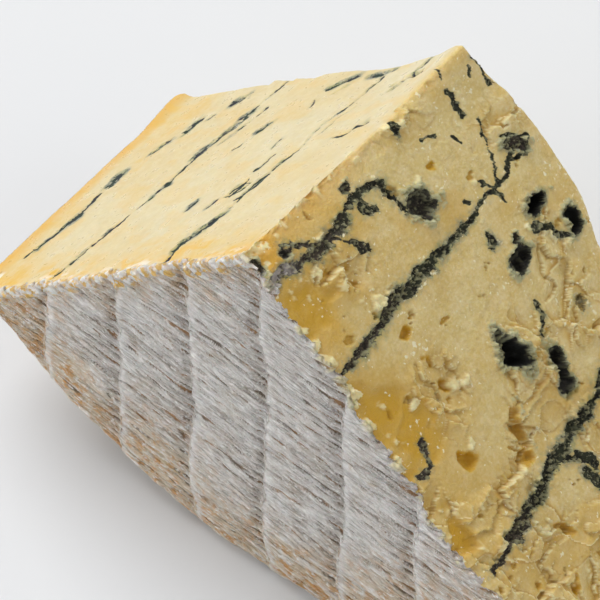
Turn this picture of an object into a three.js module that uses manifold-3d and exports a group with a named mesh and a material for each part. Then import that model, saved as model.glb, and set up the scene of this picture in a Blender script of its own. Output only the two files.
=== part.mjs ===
// A wedge of blue-veined cheese with a natural rind: a wheel cut across at half its height and
// then into quarters, standing on its rounded rim with the two radial cuts meeting at the top.
//
// The wheel's axis runs along Y. The flat rind of the wheel faces -Y, the face left by the cut
// across the wheel faces +Y, the smooth radial cut faces up and to -X, and the crumbly one,
// which broke open along its veins, faces up and to +X. Millimetres, +Z up, with the origin in
// the middle of the base.

import * as THREE from 'three';
import { mergeVertices } from 'three/addons/utils/BufferGeometryUtils.js';
import Module from 'manifold-3d';

// Driving dimensions

const WHEEL_RADIUS = 135; // wheel's axis to the rind on its rim
const SLICE_HEIGHT = 85; // flat rind to the cut across the wheel, along the axis
const BACK_BOW = 5; // how far the cut across the wheel swells, on the crumbly side
const BOW_EXTENT = { full: 36, fading: 46, gone: 68 }; // of the swelling, from the wheel's axis
const REST_WIDTH = 44; // the flat that the rim has settled onto
const RIM_ROUNDING = 7; // where the flat rind turns over into the rim
const APEX_ROUNDING = 1.5; // wear along the edge where the two radial cuts meet
const LOST_CORNER = { smoothCut: 2, apexEdge: 8, crumblyCut: 11 }; // its reach from the tip
const RIND_BAND = { count: 9, pitch: 25, step: 0.9, offset: -19 }; // cloth marks across the rind
const WHEEL_SEGMENTS = 128;
const ROUNDING_STEPS = 6;
const BACK_RINGS = 20;
const CHANNEL_STEPS = 26;
const CHANNEL_SIDES = 8;

const HALF_ANGLE = Math.PI / 4; // each radial cut leans this far from the vertical
const APEX_Z = Math.sqrt(WHEEL_RADIUS ** 2 - (REST_WIDTH / 2) ** 2);
const RIND_Y = -(SLICE_HEIGHT + BACK_BOW) / 2;
const BACK_Y = RIND_Y + SLICE_HEIGHT;

// Hollows in the crumbly cut: down = distance from the apex edge, along = distance from the
// rind, size = [down, along, depth] of the opening, turn = degrees from the down direction.

const HOLLOWS = [
  { down: 22, along: 47, size: [8, 7, 5], turn: 20 },
  { down: 5, along: 34, size: [3, 3, 2], turn: 0 },
  { down: 28, along: 78, size: [8, 7, 5], turn: -15 },
  { down: 43, along: 73, size: [5, 7, 4], turn: 10 },
  { down: 53, along: 80, size: [7, 4, 3], turn: 0 },
  { down: 50, along: 60, size: [5, 7, 4], turn: 25 },
  { down: 67, along: 46, size: [15, 6, 6], turn: 12 },
  { down: 79, along: 55, size: [12, 5, 4], turn: -8 },
  { down: 85, along: 35, size: [14, 6, 4], turn: -14 },
  { down: 79, along: 18, size: [7, 5, 3], turn: 30 },
];

// Open veins in the crumbly cut, each from the rind side to the back as [down, along] points.

const VEINS = [
  { width: 4.4, depth: 1.4, route: [[40, 2], [38, 14], [35, 30], [35, 45], [33, 60], [24, 70], [14, 75]] },
  { width: 5.2, depth: 1.6, route: [[104, 5], [102, 20], [96, 37], [93, 54], [88, 68], [90, 80]] },
  { width: 3.2, depth: 1.1, route: [[10, 9], [13, 16], [9, 31], [11, 41], [20, 44]] },
];

const wasm = await Module();
wasm.setup();

// Joins a geometry's shared corners and makes it a solid, leaving out triangles with no area.

function toSolid(geometry) {
  const bare = geometry.clone();
  bare.deleteAttribute('normal');
  bare.deleteAttribute('uv');
  const joined = mergeVertices(bare);
  const corners = joined.getIndex().array;
  const triVerts = [];
  for (let i = 0; i < corners.length; i += 3) {
    const [a, b, c] = corners.slice(i, i + 3);
    if (a !== b && b !== c && c !== a) triVerts.push(a, b, c);
  }
  return new wasm.Manifold(new wasm.Mesh({
    numProp: 3,
    vertProperties: new Float32Array(joined.getAttribute('position').array),
    triVerts: new Uint32Array(triVerts),
  }));
}

function toGeometry(solid) {
  const { vertProperties, triVerts } = solid.getMesh();
  const geometry = new THREE.BufferGeometry();
  geometry.setAttribute('position', new THREE.BufferAttribute(vertProperties, 3));
  geometry.setIndex(new THREE.BufferAttribute(triVerts, 1));
  geometry.computeVertexNormals();
  return geometry;
}

// How far the back swells at a point of the wheel: most a short way out beside the crumbly
// cut, fading to nothing at the apex, towards the rim and at the smooth cut.

function backSwell(x, z) {
  const radius = Math.hypot(x, z);
  const { smoothstep } = THREE.MathUtils;
  const sideways = x / Math.max(radius, 1);
  const across = smoothstep(sideways, -Math.sin(HALF_ANGLE), Math.sin(HALF_ANGLE));
  const growing = Math.sin((Math.PI / 2) * Math.min(radius / BOW_EXTENT.full, 1));
  const fading = 1 - smoothstep(radius, BOW_EXTENT.fading, BOW_EXTENT.gone);
  return BACK_BOW * across * growing * fading;
}

// The half wheel: flat rind, rounded edge, rim, and the swollen cut across its middle.

function halfWheel() {
  const profile = [new THREE.Vector2(0, RIND_Y)];
  for (let i = 0; i <= ROUNDING_STEPS; i++) {
    const angle = (Math.PI / 2) * (i / ROUNDING_STEPS);
    profile.push(new THREE.Vector2(
      WHEEL_RADIUS - RIM_ROUNDING * (1 - Math.sin(angle)),
      RIND_Y + RIM_ROUNDING * (1 - Math.cos(angle)),
    ));
  }
  for (let ring = 0; ring <= BACK_RINGS; ring++) {
    profile.push(new THREE.Vector2(WHEEL_RADIUS * (1 - ring / BACK_RINGS), BACK_Y));
  }
  const geometry = new THREE.LatheGeometry(profile, WHEEL_SEGMENTS);
  const position = geometry.getAttribute('position');
  for (let i = 0; i < position.count; i++) {
    if (position.getY(i) > BACK_Y - 0.001) {
      position.setY(i, BACK_Y + backSwell(position.getX(i), position.getZ(i)));
    }
  }
  geometry.translate(0, 0, APEX_Z);
  return toSolid(geometry);
}

// The space between the two radial cuts, above the floor, rounded along the apex edge.

function quarterSpace() {
  const reach = APEX_Z * Math.tan(HALF_ANGLE);
  const centre = APEX_Z - APEX_ROUNDING / Math.sin(HALF_ANGLE);
  const outline = new THREE.Shape();
  outline.moveTo(-reach, 0);
  outline.lineTo(reach, 0);
  outline.absarc(0, centre, APEX_ROUNDING, HALF_ANGLE, Math.PI - HALF_ANGLE, false);
  outline.closePath();
  const geometry = new THREE.ExtrudeGeometry(outline, {
    depth: 2 * SLICE_HEIGHT,
    bevelEnabled: false,
    curveSegments: 4,
  });
  geometry.translate(0, 0, -SLICE_HEIGHT);
  geometry.rotateX(Math.PI / 2);
  return toSolid(geometry);
}

// Shavings off the flat rind that leave it in upright overlapping bands, as the cloth round the
// wheel pressed it. Each band is highest along its left edge and slopes down to the next one.

function rindShavings() {
  const { count, pitch, step, offset } = RIND_BAND;
  const left = offset - (count / 2) * pitch;
  const slope = 0.96; // the rest of the pitch is the steep rise to the next band
  const outline = new THREE.Shape();
  outline.moveTo(left, -pitch);
  for (let band = 0; band < count; band++) {
    outline.lineTo(left + band * pitch, 0);
    outline.lineTo(left + (band + slope) * pitch, step);
  }
  outline.lineTo(left + count * pitch, -pitch);
  outline.closePath();
  const geometry = new THREE.ExtrudeGeometry(outline, { depth: 2 * WHEEL_RADIUS, bevelEnabled: false });
  geometry.translate(0, RIND_Y, -WHEEL_RADIUS / 4);
  return toSolid(geometry);
}

// A point on the crumbly cut, lifted off it by out.

function onCrumblyCut(down, along, out = 0) {
  return new THREE.Vector3(
    down * Math.sin(HALF_ANGLE) + out * Math.cos(HALF_ANGLE),
    RIND_Y + along,
    APEX_Z - down * Math.cos(HALF_ANGLE) + out * Math.sin(HALF_ANGLE),
  );
}

function hollow({ down, along, size, turn }) {
  const geometry = new THREE.IcosahedronGeometry(1, 1);
  geometry.scale(size[0] / 2, size[1] / 2, size[2]);
  geometry.rotateZ(THREE.MathUtils.degToRad(turn));
  geometry.rotateY(HALF_ANGLE);
  geometry.translate(...onCrumblyCut(down, along).toArray());
  return toSolid(geometry);
}

function veinChannel({ width, depth, route }) {
  const radius = width / 2;
  const line = new THREE.CatmullRomCurve3(
    route.map(([down, along]) => onCrumblyCut(down, along, radius - depth)),
  );
  const section = new THREE.Shape();
  section.absarc(0, 0, radius, 0, 2 * Math.PI, false);
  return toSolid(new THREE.ExtrudeGeometry(section, {
    extrudePath: line,
    steps: CHANNEL_STEPS,
    curveSegments: CHANNEL_SIDES,
    bevelEnabled: false,
  }));
}

// The corner where both radial cuts meet the rind has crumbled away, to a plane through a
// point on each of the three edges that met there.

function lostCorner() {
  const onApexEdge = onCrumblyCut(0, LOST_CORNER.apexEdge);
  const onCrumblyEdge = onCrumblyCut(LOST_CORNER.crumblyCut, 0);
  const onSmoothEdge = onCrumblyCut(LOST_CORNER.smoothCut, 0);
  onSmoothEdge.x *= -1;
  const plane = new THREE.Plane().setFromCoplanarPoints(onApexEdge, onSmoothEdge, onCrumblyEdge);
  const out = plane.normal.clone();
  if (out.z < 0) out.negate();
  const reach = 3 * LOST_CORNER.crumblyCut;
  const centre = onApexEdge.clone().addScaledVector(out, reach / 2);
  const block = new THREE.Mesh(new THREE.BoxGeometry(reach, reach, reach));
  block.position.copy(centre);
  block.lookAt(centre.clone().add(out));
  block.updateMatrixWorld(true);
  return toSolid(block.geometry.clone().applyMatrix4(block.matrixWorld));
}

function cheeseWedge() {
  let solid = halfWheel().intersect(quarterSpace()).subtract(rindShavings()).subtract(lostCorner());
  for (const place of HOLLOWS) solid = solid.subtract(hollow(place));
  for (const vein of VEINS) solid = solid.subtract(veinChannel(vein));
  const paste = new THREE.MeshStandardMaterial({ color: 0xe3cf94, roughness: 0.62, metalness: 0 });
  const mesh = new THREE.Mesh(toGeometry(solid), paste);
  mesh.name = 'cheese_wedge';
  return mesh;
}

const part = new THREE.Group();
part.name = 'blue_cheese_wedge';
part.add(cheeseWedge());

export default part;
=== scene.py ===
"""Looks of a wedge of blue-veined cheese with a grey natural rind.

The visible wedge is one closed mesh built over the CAD solid's faces. Its corner-to-corner
shape is worked out first, then every face is carved: a smooth cut with fine veins, a broken
cut with open veins, hollows, pits and flakes, and a ribbed rind. Marks painted on the mesh
as attributes tell the materials where veins, mould, amber paste and crumbs are, and where
painted shade and painted highlights go into the colour.

Lengths are in millimetres until the mesh is made, which is in metres.
"""

import itertools
import math

import bpy
import numpy as np
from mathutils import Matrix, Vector


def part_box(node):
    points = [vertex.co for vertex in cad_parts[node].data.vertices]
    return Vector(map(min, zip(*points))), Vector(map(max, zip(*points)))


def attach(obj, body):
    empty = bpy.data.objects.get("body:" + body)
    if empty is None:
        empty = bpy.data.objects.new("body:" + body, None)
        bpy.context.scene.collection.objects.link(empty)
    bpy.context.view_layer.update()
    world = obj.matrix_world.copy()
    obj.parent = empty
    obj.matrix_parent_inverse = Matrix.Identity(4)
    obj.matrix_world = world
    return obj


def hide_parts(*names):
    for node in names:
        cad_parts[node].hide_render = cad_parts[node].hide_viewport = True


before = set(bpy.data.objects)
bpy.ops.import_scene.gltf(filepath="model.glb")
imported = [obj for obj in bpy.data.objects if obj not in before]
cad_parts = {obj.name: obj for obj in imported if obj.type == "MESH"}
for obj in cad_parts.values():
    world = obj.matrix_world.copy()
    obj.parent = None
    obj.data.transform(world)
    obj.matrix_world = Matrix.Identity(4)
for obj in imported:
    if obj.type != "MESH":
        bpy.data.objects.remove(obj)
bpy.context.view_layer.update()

MM = 0.001
LOW, HIGH = (np.array(corner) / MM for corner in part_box("cheese_wedge"))

# The wedge, in the CAD solid's terms
RADIUS = (HIGH[0] - LOW[0]) / 2 * math.sqrt(2)  # wheel's axis to the rim
BACK_BOW = 5.0  # swelling of the back
BOW_FULL, BOW_FADING, BOW_GONE = 36.0, 46.0, 68.0  # its extent, from the apex edge
HEIGHT = HIGH[1] - LOW[1] - BACK_BOW  # flat rind to back, along the wheel's axis
REST_WIDTH = 44.0  # flat under the rim
APEX_Z = math.sqrt(RADIUS**2 - (REST_WIDTH / 2) ** 2)
RIM_ROUNDING = 7.0
LOST_CORNER = (2.0, 11.0, 8.0)  # its reach along the smooth cut, the crumbly cut and the apex edge
LEAN = math.sqrt(0.5)  # both cuts lean 45 degrees

# How far each edge is worn round
APEX_WEAR = 1.6
SMOOTH_WEAR = 1.2  # smooth cut to the rind and to the back
CRUMBLY_WEAR = 1.0  # crumbly cut to the rind
CRUMBLY_BACK_WEAR = 0.8
RIM_BACK_WEAR = 3.5

# Fineness of the mesh
STEP = 0.42
ACROSS = int(RADIUS / STEP)  # steps from the apex to the rim
ALONG = int(HEIGHT / STEP)  # steps from the rind to the back

# The rind's pattern
BAND_PITCH = 25.0
BAND_START = 6.0  # where one band begins, from the middle
BAND_RISE = 1.6
RIB_PITCH = 3.3
GROOVE_DEPTH = 0.75  # between the ribs
HAIR_PITCH = 0.41 * RIB_PITCH  # fine lines along the ribs
HAIR_DEPTH = 0.3
TICK_PITCH = 4.7  # ribs that stand up along the smooth cut
TOOTH_PITCH = 6.9  # broken teeth along the crumbly cut
STRAND_SPAN = 1000.0  # scales the ribs' running distance into the 0 to 1 of a mark


# ---------------- noise


def lattice(cell, seed):
    """A fixed random number from 0 to 1 for each row of whole numbers."""
    mixed = np.full(len(cell), seed * 40503 + 977, np.int64)
    for column, prime in zip(cell.T, (73856093, 19349663, 83492791)):
        mixed = (mixed ^ (column * prime)) & 0xFFFFFFFF
        mixed = ((mixed ^ (mixed >> 15)) * 739982445) & 0xFFFFFFFF
        mixed = ((mixed ^ (mixed >> 12)) * 695872825) & 0xFFFFFFFF
    return ((mixed ^ (mixed >> 15)) & 0xFFFFFF) / 0xFFFFFF


def noise(points, scale, seed):
    """Smooth noise from -1 to 1 with lumps about scale across."""
    scaled = points / scale
    cell = np.floor(scaled).astype(np.int64)
    part = scaled - cell
    part = part**3 * (part * (part * 6 - 15) + 10)
    total = np.zeros(len(points))
    for corner in itertools.product((0, 1), repeat=points.shape[1]):
        weight = np.prod(np.where(corner, part, 1 - part), axis=1)
        total += weight * lattice(cell + np.array(corner), seed)
    return total * 2 - 1


def fractal(points, scale, octaves, seed):
    """Noise with finer noise added to it, each octave half the size and half the height."""
    total = np.zeros(len(points))
    for octave in range(octaves):
        total += noise(points, scale / 2**octave, seed + octave) / 2**octave
    return total


def cells(points, scale, seed):
    """For a scatter of seeds about scale apart: distance to the nearest, how much farther the
    next one is, the random numbers of both, and the way from the nearest to the point."""
    scaled = points / scale
    cell = np.floor(scaled).astype(np.int64)
    nearest = np.full(len(points), 9.0)
    second = np.full(len(points), 9.0)
    number = np.zeros(len(points))
    next_number = np.zeros(len(points))
    offset = np.zeros(points.shape)
    for neighbour in itertools.product((-1, 0, 1), repeat=2):
        other = cell + np.array(neighbour)
        jitter = np.stack([lattice(other, seed), lattice(other, seed + 1)], 1)
        away = scaled - other - 0.1 - 0.8 * jitter
        distance = np.linalg.norm(away, axis=1)
        own = lattice(other, seed + 2)
        closer = distance < nearest
        next_number = np.where(closer, number, np.where(distance < second, own, next_number))
        second = np.where(closer, nearest, np.minimum(second, distance))
        number = np.where(closer, own, number)
        offset = np.where(closer[:, None], away, offset)
        nearest = np.where(closer, distance, nearest)
    return nearest * scale, (second - nearest) * scale, number, next_number, offset * scale


def again(number, which):
    """Another random number from 0 to 1, made from one that came with a cell."""
    return number * (37.17 + 11.3 * which) % 1


def zigzag(turns):
    """1 at whole numbers of turns, 0 half way between them."""
    return np.abs(turns % 1 - 0.5) * 2


def rise(value, low, high):
    """0 below low, 1 above high, and a smooth rise between; falls if high is below low."""
    part = np.clip((value - low) / (high - low), 0, 1)
    return part * part * (3 - 2 * part)


def line_distance(points, route):
    """Distance from each point to a line through the route's points."""
    best = np.full(len(points), 1e9)
    route = np.array(route, float)
    for start, end in zip(route[:-1], route[1:]):
        run = end - start
        part = np.clip((points - start) @ run / (run @ run), 0, 1)
        best = np.minimum(best, np.linalg.norm(points - start - part[:, None] * run, axis=1))
    return best


def warped(points, size, scale, seed):
    """The points moved about by smooth noise, so that outlines drawn on them wander."""
    shift = np.stack([fractal(points, scale, 3, seed), fractal(points, scale, 3, seed + 9)], 1)
    return points + size * shift


# ---------------- the wedge's plain shape


def quarter_disc():
    """A grid over a quarter disc: its edges lie along the two cuts and the rim."""
    steps = np.arange(ACROSS + 1) / ACROSS
    along_smooth, along_crumbly = np.meshgrid(steps, steps, indexing="ij")
    smooth = along_smooth * np.sqrt(1 - along_crumbly**2 / 2)
    crumbly = along_crumbly * np.sqrt(1 - along_smooth**2 / 2)
    return smooth, crumbly


def over_the_rim(disc):
    """Where a point of the unit disc lies once the disc is laid over the rind's rounded edge:
    its distances along the two cuts and its depth below the flat rind."""
    flat = RADIUS - RIM_ROUNDING
    length = flat + RIM_ROUNDING * math.pi / 2
    out = np.linalg.norm(disc, axis=1)
    run = out * length
    turn = np.maximum(run - flat, 0) / RIM_ROUNDING
    radius = np.where(run < flat, run, flat + RIM_ROUNDING * np.sin(turn))
    depth = RIM_ROUNDING * (1 - np.cos(turn))
    return disc * (radius / np.maximum(out, 1e-9))[:, None], depth


def round_edge(first, second, radius):
    """Rounds the edge where two distances are both zero."""
    a = np.clip(1 - first / radius, 0, 1)
    b = np.clip(1 - second / radius, 0, 1)
    inside = (a > 0) & (b > 0)
    new_first = np.where(inside, radius * (1 - a * np.sqrt(1 - b * b / 2)), first)
    new_second = np.where(inside, radius * (1 - b * np.sqrt(1 - a * a / 2)), second)
    return new_first, new_second


def wedge_grid():
    """The closed grid: unit disc place and depth share for every vertex, and all the faces.
    It has a grid over the rind, a tube round the cuts and the rim, and a grid over the back."""
    smooth, crumbly = quarter_disc()
    last = ACROSS
    edge = [(0, b) for b in range(last)]
    edge += [(a, last) for a in range(last)]
    edge += [(last, b) for b in range(last, 0, -1)]
    edge += [(a, 0) for a in range(last, 0, -1)]
    edge = np.array(edge)
    ring = len(edge)
    ring_disc = np.stack([smooth[edge[:, 0], edge[:, 1]], crumbly[edge[:, 0], edge[:, 1]]], 1)
    disc = [np.tile(ring_disc, (ALONG + 1, 1))]
    share = [np.repeat(np.arange(ALONG + 1) / ALONG, ring)]

    row = np.arange(ALONG)[:, None] * ring
    here = np.arange(ring)[None, :]
    after = (here + 1) % ring
    quads = [np.stack([row + here, row + after, row + ring + after, row + ring + here], -1)]

    inner = np.stack([smooth[1:-1, 1:-1].ravel(), crumbly[1:-1, 1:-1].ravel()], 1)
    number = np.zeros((last + 1, last + 1), np.int64)
    for end, start in ((0, (ALONG + 1) * ring), (1, (ALONG + 1) * ring + len(inner))):
        disc.append(inner)
        share.append(np.full(len(inner), float(end)))
        number[edge[:, 0], edge[:, 1]] = np.arange(ring) + end * ALONG * ring
        number[1:-1, 1:-1] = (start + np.arange(len(inner))).reshape(last - 1, last - 1)
        corners = [number[:-1, :-1], number[1:, :-1], number[1:, 1:], number[:-1, 1:]]
        if end:
            corners.reverse()
        quads.append(np.stack(corners, -1))
    quads = np.concatenate([q.reshape(-1, 4) for q in quads])
    return np.concatenate(disc), np.concatenate(share), quads


class Wedge:
    """Every vertex's place in the wedge's own terms, in millimetres: smooth and crumbly are the
    distances along the two cuts from the apex edge, depth is the distance from the flat rind."""

    def __init__(self):
        disc, share, self.quads = wedge_grid()
        cuts, edge_depth = over_the_rim(disc)
        self.smooth, self.crumbly = cuts.T
        self.depth = edge_depth + (HEIGHT - edge_depth) * share
        self.run = np.linalg.norm(disc, axis=1)
        self.angle = np.arctan2(disc[:, 1], disc[:, 0]) - math.pi / 4
        self.wear_edges()
        self.radius = np.hypot(self.smooth, self.crumbly)
        self.from_back = HEIGHT - self.depth
        self.from_rim = RADIUS - self.radius
        self.x = (self.crumbly - self.smooth) * LEAN
        self.down = (self.crumbly + self.smooth) * LEAN

    def wear_edges(self):
        """Rounds the arrises, most at the apex edge."""
        plain_back = HEIGHT - self.depth
        self.smooth, self.crumbly = round_edge(self.smooth, self.crumbly, APEX_WEAR)
        self.smooth, self.depth = round_edge(self.smooth, self.depth, SMOOTH_WEAR)
        self.crumbly, self.depth = round_edge(self.crumbly, self.depth, CRUMBLY_WEAR)
        self.smooth, back = round_edge(self.smooth, plain_back, SMOOTH_WEAR)
        self.crumbly, back = round_edge(self.crumbly, back, CRUMBLY_BACK_WEAR)
        self.depth = np.where(plain_back < 2 * SMOOTH_WEAR, HEIGHT - back, self.depth)
        radius = np.hypot(self.smooth, self.crumbly)
        from_rim, back = round_edge(RADIUS - radius, HEIGHT - self.depth, RIM_BACK_WEAR)
        shrink = (RADIUS - from_rim) / np.maximum(radius, 1)
        self.smooth, self.crumbly = self.smooth * shrink, self.crumbly * shrink
        self.depth = np.where(back < RIM_BACK_WEAR, HEIGHT - back, self.depth)

    def under_skin(self):
        """How far every vertex is from the rind's outside, measured round its rounded edge."""
        past_flat = self.radius - (RADIUS - RIM_ROUNDING)
        to_round = RIM_ROUNDING - np.hypot(past_flat, RIM_ROUNDING - self.depth)
        on_rounding = (past_flat > 0) & (self.depth < RIM_ROUNDING)
        return np.where(on_rounding, to_round, np.minimum(self.depth, self.from_rim))

    def places(self):
        """Every vertex's x, y, z, with the back swollen as the CAD solid's is."""
        across = rise(self.x / np.maximum(self.radius, 1), -LEAN, LEAN)
        growing = np.sin(math.pi / 2 * np.minimum(self.radius / BOW_FULL, 1))
        swell = BACK_BOW * across * growing * rise(self.radius, BOW_GONE, BOW_FADING)
        y = LOW[1] + self.depth * (1 + swell / HEIGHT)
        return np.stack([self.x, y, APEX_Z - self.down], 1)


# ---------------- the crumbly cut
# Places on it are (distance from the apex edge, distance from the rind).

OPEN_VEINS = [
    # width, depth, route
    (2.6, 0.9, [(10, -1), (10, 5), (11, 12), (12, 16), (11, 21)]),
    (3.6, 1.0, [(12, 17), (11, 23), (10, 27)]),
    (1.8, 0.8, [(10, 27), (9, 30), (8, 35), (10, 41), (15, 42), (20, 43)]),
    (1.6, 0.7, [(5, 9), (7, 13), (10, 16)]),
    (1.4, 0.8, [(12, 21), (16, 26), (21, 27)]),
    (1.6, 0.6, [(8, 35), (12, 33), (14, 36)]),
    (1.5, 0.8, [(40, 2), (39, 8)]),
    (2.9, 1.2, [(39, 7), (38, 14), (36, 21), (35, 27), (35, 39)]),
    (2.2, 1.0, [(35, 39), (34, 48), (34, 55)]),
    (1.3, 0.7, [(34, 53), (33, 60), (32, 65), (31, 71), (29, 73)]),
    (0.9, 0.6, [(32, 65), (30, 68), (25, 71), (20, 71.5), (16.5, 74.5)]),
    (0.9, 0.5, [(31, 70), (27.5, 76.5)]),
    (1.6, 0.9, [(104, 5), (104, 12), (103, 18)]),
    (3.2, 1.3, [(103, 16), (102, 20), (100, 28), (96, 37), (95, 45), (93, 54)]),
    (2.8, 1.1, [(93, 54), (90, 63), (86, 76), (84, 86)]),
    (1.8, 0.8, [(96, 40), (100, 46), (105, 49)]),
]
FINE_VEINS = [
    (1.3, 0.5, [(4.8, 72.2), (8.5, 71.9), (12.4, 71.3)]),
    (0.9, 0.4, [(-1, 74), (1.5, 74)]),
    (1.0, 0.5, [(3.4, 81.5), (5.8, 80.3)]),
    (1.1, 0.5, [(5, 84), (9, 83.7), (12, 83.2)]),
    (1.4, 0.5, [(1, 54), (5, 54)]),
    (1.0, 0.4, [(10, 58), (11, 62)]),
    (0.9, 0.4, [(15, 65), (18, 66)]),
    (1.3, 0.5, [(29, 56.5), (30.5, 57.2)]),
    (0.9, 0.4, [(28.6, 63), (31, 64)]),
    (0.8, 0.4, [(33.8, 65.2), (36.5, 65.5)]),
    (2.2, 0.6, [(40, 56), (43, 56)]),
    (1.6, 0.5, [(62, 59), (65, 60), (69, 57)]),
    (2.4, 0.7, [(45, 87), (48, 88), (53, 88), (56, 89)]),
    (1.6, 0.8, [(67, 11), (74, 9), (74, 4)]),
    (1.6, 0.5, [(99, 46), (103, 49)]),
    (2.2, 0.6, [(104, 45), (109, 46)]),
    (1.0, 0.5, [(23, 75), (28, 81.5), (31.5, 78.5), (29, 73), (27.5, 76.5), (23, 75)]),
    (1.6, 0.6, [(3, 84), (9, 87), (15, 88)]),
    (1.6, 0.5, [(47, 68), (50, 72), (56, 77)]),
]
# place, half sizes down and along, depth, turn in degrees, and how mouldy inside
HOLLOWS = [
    ((22, 47), (4.0, 3.2), 2.9, 20, 0.9),
    ((5, 34), (1.4, 1.2), 1.6, 0, 0.7),
    ((6.5, 9.5), (1.3, 1.2), 1.8, 0, 0.9),
    ((5.5, 0.5), (2.4, 2.0), 2.0, 0, 0.9),
    ((27.8, 77), (3.9, 2.2), 1.3, 50, 0.9),
    ((43, 73), (2.6, 3.4), 5.5, 10, 0.9),
    ((53.5, 79), (3.4, 2.2), 4.5, 0, 1.0),
    ((50, 60), (2.2, 3.2), 4.0, 25, 1.0),
    ((46, 62), (1.2, 1.4), 2.0, 0, 0.9),
    ((62, 45), (3.2, 1.6), 2.4, 12, 0.9),
    ((68, 46), (5.0, 2.6), 7.5, 12, 1.0),
    ((79, 55.5), (5.8, 1.9), 4.0, -8, 1.0),
    ((83, 36), (6.0, 1.8), 3.0, -14, 0.3),
    ((90, 33), (2.6, 2.4), 3.0, 0, 0.15),
    ((79, 18.5), (3.0, 2.2), 3.2, 30, 0.0),
    ((17, 55), (1.4, 0.9), 1.4, 0, 0.0),
    ((44, 23), (1.5, 2.0), 1.8, 20, 0.0),
    ((53, 24), (2.2, 0.7), 1.5, 0, 0.0),
    ((61, 25), (1.6, 1.4), 2.0, 0, 0.0),
    ((111, 31), (3.4, 1.2), 2.4, 30, 0.2),
    ((57, 8), (1.4, 1.0), 1.2, 0, 0.0),
    ((117, 15), (1.4, 1.2), 1.6, 0, 0.0),
    ((124, 24), (2.0, 1.2), 1.6, 0, 0.0),
    ((118, 58), (3.0, 2.0), 3.0, 20, 0.9),
    ((70, 72), (2.0, 1.4), 2.0, 0, 0.5),
]
# Patches of the crumbly cut: place and half sizes
AMBER_PATCHES = [((22, 5), (12, 10)), ((54, 6), (15, 10)), ((92, 5), (8, 6))]
TORN_PATCHES = [
    ((62, 22), (11, 9)), ((73, 50), (12, 10)), ((52, 70), (12, 5)),
    ((70, 68), (10, 9)), ((2, 58), (4, 6)),
]
CRUMBS = [  # place and half size
    ((16, 13), 1.5), ((23, 16), 1.3), ((31, 21), 2.3), ((33, 25), 1.8), ((10, 19), 1.3),
    ((62, 28), 2.0), ((64, 31), 1.4), ((59, 15), 1.4), ((77, 22), 1.5), ((102, 12), 1.8),
    ((46, 67), 1.1), ((49, 70), 1.6), ((52, 72), 1.4), ((56, 76), 1.6), ((98, 33), 1.6),
    ((107, 26), 2.4), ((1, 53), 1.2), ((3, 56), 1.6), ((2, 60), 1.3), ((8, 41), 1.3),
    ((17, 50), 1.2), ((26, 45), 1.2), ((40, 0.5), 2.2), ((44, 1.0), 2.8), ((48, 1.0), 2.0),
    ((55, 1.0), 2.2), ((34, 1.2), 2.2), ((29, 0.8), 1.7), ((24, 1.0), 1.6), ((67, 1), 1.9),
]


def ellipse(points, place, sizes, turn=0.0, power=2.0):
    """1 at an ellipse's outline, less inside it, more outside; boxier with a higher power."""
    angle = math.radians(turn)
    across = points - np.array(place)
    down = across @ np.array([math.cos(angle), math.sin(angle)]) / sizes[0]
    along = across @ np.array([-math.sin(angle), math.cos(angle)]) / sizes[1]
    return (np.abs(down) ** power + np.abs(along) ** power) ** (1 / power)


def blot(marks, name, values):
    """Adds a mark where it is stronger than what is there."""
    marks[name] = np.maximum(marks[name], values)


def carve_veins(marks, points, rough, veins, haze_reach, core=1.0, strength=1.0, ragged=0.0):
    """Cuts veins into a face: marks gets their mould, which fills the core's share of their
    width, more ragged where they are wide, and the haze over the rest and round them."""
    height = np.zeros(len(points))
    swelling = 1 + 0.45 * rough + 0.4 * noise(points, 6, 15)
    for width, depth, route in veins:
        distance = line_distance(points, route)
        edge = width / 2 * swelling - distance
        height = np.minimum(height, -depth * rise(edge, -0.2, 0.6))
        inner = core * width / 2 * swelling - distance + ragged * (width - 1)
        blot(marks, "vein", strength * rise(inner, -0.3, 0.3))
        blot(marks, "haze", np.exp(np.minimum(edge, 0) / haze_reach) * min(1, width / 2.2))
    return height


def flakes(place, size, seed):
    """Plates of torn curd, each at its own height and tilt: their height, how near a place is
    to the plate's own broken edge, and how near to the foot of a higher plate."""
    wander = warped(place, 0.14 * size, 0.8 * size, seed)
    _, gap, number, other, offset = cells(wander, size, seed + 20)
    heading = again(number, 1) * 2 * math.pi
    tilt = offset[:, 0] * np.cos(heading) + offset[:, 1] * np.sin(heading)
    above = rise(number - other, -0.05, 0.1)
    height = (number - 0.5) * 0.2 * size + 0.18 * tilt
    return height, above * rise(gap, 0.7, 0.1), (1 - above) * rise(gap, 0.3 * size, 0)


def shells(place, size, seed):
    """Thin curved plates of curd that lie over one another: 0 where one comes out from under
    its neighbour, rising to 1 at its own broken edge."""
    layer = 1.5 * fractal(warped(place, 0.12 * size, 0.4 * size, seed), size, 2, seed + 5)
    return layer % 1


def grains(place, size, seed):
    """A bed of grains: each point's height on its grain, 0 round it and 1 on top, and the
    grain's random number."""
    wander = warped(place, 0.3 * size, 0.8 * size, seed)
    _, gap, number, _, _ = cells(wander, size, seed + 20)
    return rise(gap, 0, 0.6 * size), number


def torn_share(place):
    """Where the broken cut is torn into flakes, from 0 to 1; elsewhere the knife smeared it."""
    torn = rise(0.8 * noise(place, 20, 24) + rise(place[:, 0], 58, 100), 0.3, 0.8)
    for centre, sizes in TORN_PATCHES:
        torn = np.maximum(torn, rise(ellipse(warped(place, 2, 7, 28), centre, sizes), 1.3, 0.7))
    return torn


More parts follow.
